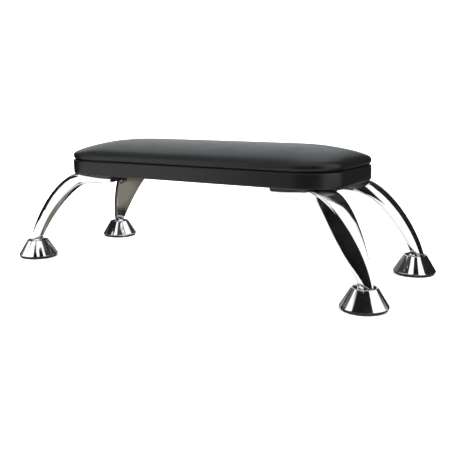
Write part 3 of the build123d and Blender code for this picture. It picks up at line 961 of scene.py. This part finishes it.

# Painted shade: a dark disc round each foot, seen in reflections alone, which stands for the
# shadow that each foot throws on the floor
SHADE_LEVEL = 0.05
SHADE_HEIGHT = 0.4 * MM
SHADE_POINTS = 64
SHADE_RADII = {"rear_right": 0.036, "front_right": 0.036, "rear_left": 0.03, "front_left": 0.042}

FLOOR_REACH = 30.0
FLOOR_THICKNESS = 20.0 * MM


def soft_light(name, place, target, width, height, power):
    """A white rectangular soft box that faces a point."""
    data = bpy.data.lights.new(name, "AREA")
    data.shape = "RECTANGLE"
    data.size, data.size_y, data.energy = width, height, power
    light = bpy.data.objects.new(name, data)
    light.location = place
    light.rotation_euler = (Vector(target) - Vector(place)).to_track_quat("-Z", "Y").to_euler()
    bpy.context.scene.collection.objects.link(light)
    return light


def make_world():
    """A plain white backdrop for the camera and for soft light, and a studio of soft boxes for
    what is reflected. Each box is (azimuth, half width, lowest, highest, edge, level, tint), in
    degrees round the object and above the horizon, with azimuth 0 along +Y and 90 along +X, and
    it covers what the boxes before it put there."""
    world = bpy.data.worlds.new("studio")
    world.use_nodes = True
    bpy.context.scene.world = world
    tree = world.node_tree
    tree.nodes.clear()
    sight = add(tree, "TexCoord").outputs["Generated"]
    x, y, z = add(tree, "SeparateXYZ", ((0, sight),)).outputs
    azimuth = maths(tree, "DEGREES", maths(tree, "ARCTAN2", x, y))
    height = maths(tree, "DEGREES", maths(tree, "ARCSINE", z))
    colour = (ROOM_LEVEL,) * 3
    for centre, half_width, lowest, highest, edge, level, tint in SOFT_BOXES:
        turn = maths(tree, "WRAP", maths(tree, "SUBTRACT", azimuth, centre), 180.0, -180.0)
        aside = maths(tree, "ABSOLUTE", turn)
        within = spread(tree, aside, half_width + edge, half_width - edge)
        above = spread(tree, height, lowest - edge, lowest + edge)
        below = spread(tree, height, highest + edge, highest - edge)
        mask = maths(tree, "MULTIPLY", within, maths(tree, "MULTIPLY", above, below))
        colour = mix_colours(tree, mask, colour, [level * part for part in tint])
    lit = add(tree, "Background", (("Color", (1, 1, 1, 1)), ("Strength", BACKDROP_LEVEL)))
    seen = add(tree, "Background", (("Color", colour), ("Strength", 1.0)))
    glossy = add(tree, "LightPath").outputs["Is Glossy Ray"]
    both = add(tree, "MixShader", ((0, glossy), (1, lit.outputs[0]), (2, seen.outputs[0])))
    tree.links.new(both.outputs[0], tree.nodes.new("ShaderNodeOutputWorld").inputs["Surface"])


def foot_shade(corner):
    """The level and corners of one foot's painted shade: a disc of points (r cos a, r sin a)."""
    along, across = CORNERS[corner]
    radius = SHADE_RADII[corner]
    turn = np.linspace(0, 2 * np.pi, SHADE_POINTS, endpoint=False)
    return SHADE_LEVEL, [(FOOT_X * along + radius * math.cos(a),
                          FOOT_Y * across + radius * math.sin(a), SHADE_HEIGHT) for a in turn]


def make_flags():
    """Dark flags that stand near the object, and the painted shade round each foot, which show
    in reflections alone. Each is a flat sheet given as its level and its corners in order."""
    sheets = FLAGS + tuple(foot_shade(corner) for corner in CORNERS)
    for index, (level, corners) in enumerate(sheets):
        flag = put_mesh(f"flag_{index + 1}", corners, [tuple(range(len(corners)))])
        # The flags are dark sheets; the discs round the feet are painted shade.
        material = bpy.data.materials.new(f"flag_and_painted_shade_{index + 1}")
        material.use_nodes = True
        tree = material.node_tree
        tree.nodes.clear()
        sheet_mottle = noise(tree, add(tree, "TexCoord").outputs["Object"], SHEET_MOTTLE_SCALE)
        dark = [FLAG_LEAST * level * part for part in BROWN]
        light = [FLAG_MOST * level * part for part in BROWN]
        glow = add(tree, "Emission", (("Color", mix_colours(tree, sheet_mottle, dark, light)),))
        out = tree.nodes.new("ShaderNodeOutputMaterial")
        tree.links.new(glow.outputs[0], out.inputs["Surface"])
        flag.data.materials.append(material)
        flag.visible_camera = flag.visible_diffuse = False
        flag.visible_shadow = flag.visible_transmission = False


def make_floor():
    """A wide pale floor, left out of reflections, where the studio's own lower half stands for
    it."""
    floor = block("floor", (-FLOOR_REACH, -FLOOR_REACH, -FLOOR_THICKNESS),
                  (FLOOR_REACH, FLOOR_REACH, 0.0))
    start, tree, place = start_material("pale_floor")
    mottle = noise(tree, place, 3.0)
    colour = mix_colours(tree, mottle, (0.95, 0.95, 0.95), (0.97, 0.97, 0.97))
    floor.data.materials.append(finish_material(start, colour, mottle, relief=0.1 * MM,
                                                strength=0.1, roughness=0.9))
    floor.visible_glossy = False


make_world()
make_flags()
make_floor()
overhead = soft_light("overhead_box", place=(0.1, 0.2, 1.6), target=(0, 0, 0.1),
                      width=2.2, height=1.6, power=12)
overhead.visible_glossy = False
bpy.context.scene.view_settings.view_transform = "Standard"
